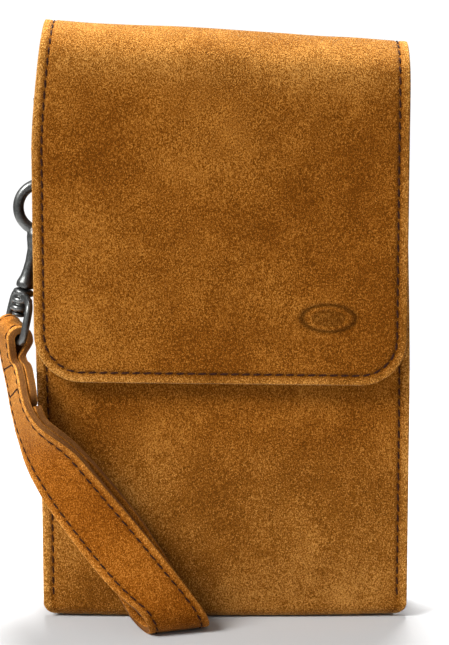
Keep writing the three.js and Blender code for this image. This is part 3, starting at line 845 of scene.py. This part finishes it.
def strap_route():
    """Sections (centre, width direction, outward face) from the folded-over end to the returning end."""
    fold_back = [behind(u) for u in np.linspace(FOLD_END, 0, 40)]
    over_bar = half_turn(fold_back[-1][0], -FACE_START, -LEG_START, BAR_DIRECTION, STRAP_BEND, 0, 22)
    front = [leg_section(u) for u in np.linspace(0, 1, 150)]
    centre, across, face = front[-1]
    along = LEG_PATH.tangent(1)
    down = unit(along - across * (along @ across))
    skew = (along @ across) / (along @ down)
    under = half_turn(centre, face, down, across, LEG_GAP / 2, skew, 26)
    returning = [behind(u) for u in np.linspace(1, RETURN_END, 120)]
    parts = [fold_back, over_bar, front, under, returning]
    names = ["fold_back", "over_bar", "front", "under", "returning"]
    marks = np.cumsum([0] + [len(part) for part in parts])
    route = [section for part in parts for section in part]
    return route, dict(zip(names, zip(marks[:-1], marks[1:])))


ROUTE, STRAP_PARTS = strap_route()
ROUTE_CENTRE = np.array([centre for centre, _, _ in ROUTE])
ROUTE_ACROSS = np.array([across for _, across, _ in ROUTE])
ROUTE_FACE = np.array([face for _, _, face in ROUTE])
ROUTE_TRAVEL = np.concatenate([[0], np.cumsum(np.linalg.norm(np.diff(ROUTE_CENTRE, axis=0), axis=1))])


def strap_half_width():
    """Half the strap's width along its route; the folded-over end is cut round."""
    tip = np.clip(7 - ROUTE_TRAVEL, 0, 7)
    return STRAP_WIDTH / 2 * (0.35 + 0.65 * np.sqrt(1 - (tip / 7) ** 2))


def strap_point(share, height, sign=1):
    """Points on every section: share from -1 to 1 across, height from the middle surface."""
    half = strap_half_width()[:, None]
    share = np.atleast_2d(share)
    inside = half * (1 - np.abs(share))
    rounded = 0.34 * groove(inside, STRAP_SEAM) + 0.75 * edge_round(inside)
    reach = height + sign * rounded
    centre, across, face = (values[:, None, :] for values in (ROUTE_CENTRE, ROUTE_ACROSS, ROUTE_FACE))
    return centre + across * (half * share)[..., None] + face * reach[..., None]


def make_strap():
    width = STRAP_WIDTH
    share = spaced(width, [(0, 4.2), (width - 4.2, width)], 0.32, 1.2) / (width / 2) - 1
    inside = strap_half_width()[:, None] * (1 - np.abs(share[None, :]))
    tone = 0.8 * seam_tone(inside, STRAP_SEAM)
    bar = ROUTE_TRAVEL[STRAP_PARTS["front"][0]]
    # painted highlight: the strap is made lighter near its bar, where light from the upper left falls
    tone = tone + 0.32 * (1 - ease(np.abs(ROUTE_TRAVEL - bar), 16, 44))[:, None]
    half = STRAP_THICK / 2
    top = slab("strap_face", strap_point(share, half), strap_point(share, 0.04, 0),
               [STRAP_SKIN, STRAP_EDGE, STRAP_SKIN], tone)
    under = slab("strap_backing", strap_point(share, -0.04, 0), strap_point(share, -half, -1),
                 [STRAP_SKIN, STRAP_EDGE, STRAP_SKIN], tone)
    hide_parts("strap_outer")
    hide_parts("strap_lining")
    shells = []
    reach = 1 - STRAP_SEAM / (width / 2)
    start = int(np.searchsorted(ROUTE_TRAVEL, 4))
    for height, sign in ((half, 1), (-half, -1)):
        for side in (-1, 1):
            line = strap_point(side * reach, height, sign)[start:, 0]
            shells.append(stitches(line, sign * ROUTE_FACE[start:], radius=0.27))
    shells += strap_rows(half)
    seam = make("strap_stitching", *joined(*shells), [THREAD])
    for piece, name in ((top, "strap_suede"), (under, "strap_suede"), (seam, "thread")):
        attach(piece, "strap")


def strap_rows(half):
    """Two rows sewn across the front leg, which hold the folded-over end."""
    first, last = STRAP_PARTS["front"]
    travel = (ROUTE_TRAVEL - ROUTE_TRAVEL[first])[first:last]
    wide = STRAP_WIDTH / 2 - STRAP_SEAM - 0.4
    shells = []
    for place in STRAP_ROWS:
        centre, across, face = (np.array([np.interp(place, travel, values[first:last, k]) for k in range(3)])
                                for values in (ROUTE_CENTRE, ROUTE_ACROSS, ROUTE_FACE))
        path = centre + face * half + across * np.linspace(-wide, wide, 40)[:, None]
        shells.append(stitches(path, np.tile(face, (40, 1)), 2.7, 2.1, 0.26))
    return shells


# ---------------------------------------------------------------- clasp
HOOK_BEND = 7.4
HOOK_ROD = 1.7
NOSE_ANGLE = 24
GATE_ANGLE = 34
GATE_REACH = 10.0
PIVOT_ANGLE = math.radians(-58)
PIVOT = np.array([HOOK_BEND * math.cos(PIVOT_ANGLE), 0, HOOK_BEND * math.sin(PIVOT_ANGLE)])
POST_RADIUS = 1.15
BOSS_TOP, BOSS_END = 26.1, 33.6
EYE_BAR, EYE_HALF, EYE_ROD = 41.3, 11.6, 1.2
SEAM_GAP = 0.3


def hook_matrix():
    """The hook's own axes: its loop's centre, and its stem pointing down local -Z."""
    up = -joint_axis("eye_swivel")
    side = np.array([up[2], 0, -up[0]])
    matrix = np.eye(4)
    matrix[:3, 0], matrix[:3, 1], matrix[:3, 2] = side, (0, 1, 0), up
    matrix[:3, 3] = joint_at("eye_swivel")
    return matrix


HOOK_FRAME = hook_matrix()
TURN_ONTO_Y = np.array(Matrix.Rotation(math.radians(-90), 4, "X"))


def arc(radius, start, end, count):
    angle = np.radians(np.linspace(start, end, count))
    return np.stack([radius * np.cos(angle), 0 * angle, radius * np.sin(angle)], -1)


def disc(radius, low, high, at=PIVOT, sides=48):
    """A disc about local Y."""
    points, faces = moved(turned([(0, low), (radius, low), (radius, high), (0, high)], sides), TURN_ONTO_Y)
    return points + at, faces


def box_shell(centre, size):
    corners = np.array([(x, y, z) for x in (-1, 1) for y in (-1, 1) for z in (-1, 1)]) * np.array(size) / 2
    faces = [(0, 1, 3, 2), (4, 6, 7, 5), (0, 4, 5, 1), (2, 3, 7, 6), (0, 2, 6, 4), (1, 5, 7, 3)]
    return corners + np.array(centre), faces


def cast(name, shell, voxel, material, cutters=(), keep=None, soften=6):
    """Fuses overlapping shells into one cast surface with small fillets, then cuts it."""
    piece = make(name, *shell, [material])
    remesh = piece.modifiers.new("fuse", "REMESH")
    remesh.mode = "VOXEL"
    remesh.voxel_size = voxel * MM
    remesh.use_smooth_shade = True
    soft = piece.modifiers.new("soften", "SMOOTH")
    soft.iterations = soften
    soft.factor = 0.5
    helpers = []
    tools = [(cutter, "DIFFERENCE") for cutter in cutters] + ([(keep, "INTERSECT")] if keep else [])
    for tool_shell, operation in tools:
        helper = make(name + "_tool", *tool_shell, [material])
        cut = piece.modifiers.new("cut", "BOOLEAN")
        cut.object, cut.operation, cut.solver = helper, operation, "EXACT"
        helpers.append(helper)
    graph = bpy.context.evaluated_depsgraph_get()
    mesh = bpy.data.meshes.new_from_object(piece.evaluated_get(graph))
    piece.modifiers.clear()
    piece.data = mesh
    for helper in helpers:
        bpy.data.objects.remove(helper)
    mesh.polygons.foreach_set("use_smooth", [True] * len(mesh.polygons))
    mesh.set_sharp_from_angle(angle=math.radians(38))
    return piece


def finish_metal(piece, body, nodes):
    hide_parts(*nodes)
    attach(piece, body)


def make_hook():
    radii = HOOK_ROD * (0.93 + 0.07 * ease(np.linspace(0, 1, 90), 0, 0.25))
    loop = tube(arc(HOOK_BEND, NOSE_ANGLE, 262, 90), radii, 28)
    stem = turned([
        (0.02, -5.9), (1.6, -6.1), (2.4, -6.9), (2.9, -8.6), (2.75, -10.0), (2.3, -11.6), (1.75, -13.6),
        (1.6, -17.5), (1.8, -20.3), (2.1, -22.2), (2.6, -23.6), (2.85, -24.1), (2.85, -25.3), (2.6, -25.8),
        (0.02, -25.85),
    ], 48)
    post = turned([(0.02, -24.5), (POST_RADIUS, -24.6), (POST_RADIUS, -34.2), (0.02, -34.3)], 32)
    head = turned([
        (0.02, -33.95), (2.1, -33.95), (2.25, -34.3), (2.15, -34.8), (1.2, -35.2), (0.02, -35.3),
    ], 40)
    slot, hole = disc(2.9, -1.3, 1.3), disc(1.0, -3.4, 3.4, sides=28)
    nose_gap = disc(GATE_REACH + 2 * SEAM_GAP, -4, 4, sides=120)
    upper = box_shell((4, 0, 5.5), (14, 8, 8))
    shells = joined(loop, stem, post, head, disc(2.4, -2.1, 2.1))
    seam = common_shell(nose_gap, upper)
    piece = cast("snap_hook", moved(shells, HOOK_FRAME), 0.2, GUNMETAL,
                 [moved(tool, HOOK_FRAME) for tool in (slot, hole, seam)])
    finish_metal(piece, "hook", ["hook_body"])


def common_shell(first, second):
    """The shared part of two shells, as points and faces in mm."""
    one, two = make("common_a", *first, []), make("common_b", *second, [])
    cut = one.modifiers.new("common", "BOOLEAN")
    cut.object, cut.operation, cut.solver = two, "INTERSECT", "EXACT"
    mesh = bpy.data.meshes.new_from_object(one.evaluated_get(bpy.context.evaluated_depsgraph_get()))
    points = np.array([vertex.co[:] for vertex in mesh.vertices]) / MM
    faces = [tuple(face.vertices) for face in mesh.polygons]
    bpy.data.objects.remove(one)
    bpy.data.objects.remove(two)
    return points, faces


def make_gate():
    start = -36
    bar = tube(arc(HOOK_BEND, start, GATE_ANGLE, 60), 1.35, 24)
    end = arc(HOOK_BEND, start, start, 1)[0]
    middle = (PIVOT + end) / 2
    angle = math.atan2(end[2] - PIVOT[2], end[0] - PIVOT[0])
    link, faces = box_shell((0, -0.35, 0), (5, 1.3, 2.2))
    turn = np.array(Matrix.Rotation(-angle, 4, "Y"))
    link = moved((link, faces), turn)[0] + np.array([middle[0], 0, middle[2]])
    thumb = turned([
        (0.02, 0.95), (0.55, 0.8), (0.95, 0.3), (1.0, 0), (0.95, -0.3), (0.55, -0.8), (0.02, -0.95),
    ], 20)
    thumb = (thumb[0] + np.array([HOOK_BEND + 1.2, 0, 0]), thumb[1])
    shells = joined(bar, disc(1.9, -1.0, 0.3), (link, faces), thumb)
    piece = cast("hook_gate_arm", moved(shells, HOOK_FRAME), 0.18, GUNMETAL,
                 [moved(disc(1.0, -3.4, 3.4, sides=28), HOOK_FRAME)],
                 moved(disc(GATE_REACH, -4, 4, sides=120), HOOK_FRAME), 4)
    finish_metal(piece, "gate", ["hook_gate"])


def make_eye():
    """The stirrup and its three-ring barrel, which turn together on the hook's post."""
    half = [(2.4, -28.4), (7.4, -28.6), (10.6, -30.2), (EYE_HALF, -33.5), (EYE_HALF, -39.2),
            (EYE_HALF - 0.35, -40.7), (EYE_HALF - 1.5, -EYE_BAR)]
    line = half + [(0, -EYE_BAR)] + [(-x, z) for x, z in reversed(half)]
    curve = Spline([(x, 0, z) for x, z in line])
    stirrup = tube([curve.at(u) for u in np.linspace(0, 1, 200)], EYE_ROD, 24)
    ridge, core, bore = 3.35, 2.3, POST_RADIUS + SEAM_GAP
    pitch = (BOSS_END - BOSS_TOP) / 3
    profile = [(bore, -BOSS_TOP)]
    for i in range(3):
        top = BOSS_TOP + i * pitch
        profile += [(core, -top - 0.12), (ridge - 0.2, -top - 0.6), (ridge, -top - pitch / 2),
                    (ridge - 0.2, -top - pitch + 0.6), (core, -top - pitch + 0.12)]
    profile += [(bore, -BOSS_END)]
    boss = turned(profile, 64, closed=True)
    turn = np.eye(4)
    across = HOOK_FRAME[:3, :3].T @ BAR_DIRECTION
    angle = math.atan2(across[1], across[0])
    turn[:2, :2] = [[math.cos(angle), -math.sin(angle)], [math.sin(angle), math.cos(angle)]]
    above, below = -BOSS_TOP + 1, -BOSS_END - 1
    bore_tool = turned([(0.02, above), (bore, above), (bore, below), (0.02, below)], 40)
    piece = cast("swivel_stirrup", moved(joined(stirrup, boss), HOOK_FRAME @ turn), 0.17, GUNMETAL,
                 [moved(bore_tool, HOOK_FRAME)], soften=3)
    finish_metal(piece, "eye", ["swivel_eye"])


def make_ring():
    low, high = box_mm("d_ring")
    centre = joint_at("ring_swing")
    rod = (high[0] - low[0]) / 2
    half = 6.6
    bow_z = low[2] + rod + half
    turn = np.linspace(math.pi, 2 * math.pi, 70)
    bow = np.stack([0 * turn + centre[0], half * np.cos(turn), bow_z + half * np.sin(turn)], -1)
    legs = [np.linspace(centre[2], bow_z, 14)[:-1], np.linspace(bow_z, centre[2], 14)[1:]]
    left = np.stack([0 * legs[0] + centre[0], 0 * legs[0] - half, legs[0]], -1)
    right = np.stack([0 * legs[1] + centre[0], 0 * legs[1] + half, legs[1]], -1)
    loop = tube(np.concatenate([left, bow, right]), rod, 24, (1, 0, 0))
    bar_y = np.linspace(-half - 0.8, half + 0.8, 40)
    bar = tube(np.stack([0 * bar_y + centre[0], bar_y, 0 * bar_y + centre[2]], -1), rod, 24, (1, 0, 0))
    piece = cast("strap_ring", joined(loop, bar), 0.18, GUNMETAL, soften=3)
    finish_metal(piece, "ring", ["d_ring"])


def make_snap(name, node, body, profile):
    """A turned half of the magnetic snap; the profile is (radius, distance towards the front)."""
    low, high = box_mm(node)
    points, faces = moved(turned(profile, 72, closed=profile[0][0] > 0.1), TURN_ONTO_Y)
    flipped = points * np.array([1, -1, 1]) if node == "snap_socket" else points
    flipped = flipped + np.array([(low[0] + high[0]) / 2, 0, (low[2] + high[2]) / 2])
    piece = make(name, flipped, faces, [SNAP_METAL], sharp=60)
    finish_metal(piece, body, [node])


def make_snaps():
    radius = box_mm("snap_socket")[1][0]
    front, skin = HALF_DEPTH, -FLAP_LOW[1] - FLAP_THICK
    make_snap("snap_socket_cup", "snap_socket", "pouch", [
        (2.4, front + 0.02), (radius - 0.1, front + 0.02), (radius, front + 0.3), (radius, front + 0.9),
        (radius - 0.25, front + 1.22), (radius - 0.7, front + 1.3), (3.4, front + 1.28), (2.9, front + 1.2),
        (2.5, front + 0.95), (2.4, front + 0.6),
    ])
    make_snap("snap_stud_plate", "snap_stud", "flap", [
        (0.02, -skin), (radius - 0.1, -skin), (radius, -skin + 0.25), (radius, -skin + 0.7),
        (radius - 0.3, -skin + 0.95), (2.1, -skin + 0.98), (1.85, -skin + 1.15), (1.8, -skin + 1.6),
        (1.5, -skin + 1.85), (0.02, -skin + 1.9),
    ])


# ---------------------------------------------------------------- floor, light and camera
def plain(name, colour, glow=0.0):
    material = bpy.data.materials.new(name)
    material.use_nodes = True
    shader = material.node_tree.nodes["Principled BSDF"]
    shader.inputs["Base Color"].default_value = rgba(colour)
    shader.inputs["Roughness"].default_value = 1.0
    shader.inputs["Specular IOR Level"].default_value = 0.0
    shader.inputs["Emission Color"].default_value = (1, 1, 1, 1)
    shader.inputs["Emission Strength"].default_value = glow
    return material


def area_light(name, place, size, power, colour=(1, 1, 1)):
    light = bpy.data.lights.new(name, "AREA")
    light.shape, light.size, light.energy, light.color = "DISK", size, power, colour
    lamp = bpy.data.objects.new(name, light)
    lamp.location = place
    lamp.rotation_euler = (Vector((0, 0, 0.09)) - Vector(place)).to_track_quat("-Z", "Y").to_euler()
    bpy.context.scene.collection.objects.link(lamp)


def make_studio():
    scene = bpy.context.scene
    world = bpy.data.worlds.new("studio")
    world.use_nodes = True
    world.node_tree.nodes["Background"].inputs["Color"].default_value = (1, 1, 1, 1)
    world.node_tree.nodes["Background"].inputs["Strength"].default_value = 0.28
    scene.world = world
    bpy.ops.mesh.primitive_circle_add(radius=0.45, vertices=96, fill_type="NGON")
    floor = bpy.context.object
    floor.name = "floor"
    floor.data.materials.append(plain("pale_floor", (0.56, 0.56, 0.56)))
    bpy.ops.mesh.primitive_uv_sphere_add(radius=5.5, segments=48, ring_count=24)
    dome = bpy.context.object
    dome.name = "backdrop"
    dome.data.materials.append(plain("white_backdrop", (0, 0, 0), 1.05))
    dome.visible_diffuse = dome.visible_glossy = dome.visible_shadow = False
    area_light("key", (0.01, 0.28, 0.98), 0.36, 20)
    area_light("side", (-0.75, -0.5, 0.8), 0.5, 17)
    scene.view_settings.view_transform = "Standard"
    camera = bpy.data.cameras.new("camera")
    camera.sensor_width, camera.lens = 36, 110.3
    camera.clip_start, camera.clip_end = 0.01, 40
    holder = bpy.data.objects.new("camera", camera)
    tilt = math.radians(8.5)
    aim, distance = Vector((0.0012, 0, 0.092)), 0.62
    holder.location = aim + Vector((0, -math.cos(tilt), math.sin(tilt))) * distance
    holder.rotation_euler = (math.radians(90) - tilt, 0, 0)
    scene.collection.objects.link(holder)
    scene.camera = holder


# ---------------------------------------------------------------- the whole object
make_studio()
make_flap()
make_wrap()
make_gusset(-1, "gusset_left")
make_gusset(1, "gusset_right")
make_pocket()
make_ring_tab()
make_strap()
make_hook()
make_gate()
make_eye()
make_ring()
make_snaps()
for node in ("gate_pin", "gate_spring", "snap_socket_washer", "snap_stud_washer"):
    kept = frame["nodes"][node]
    kept.data.materials.clear()
    kept.data.materials.append(SNAP_METAL if node.startswith("snap") else GUNMETAL)

bpy.context.view_layer.update()
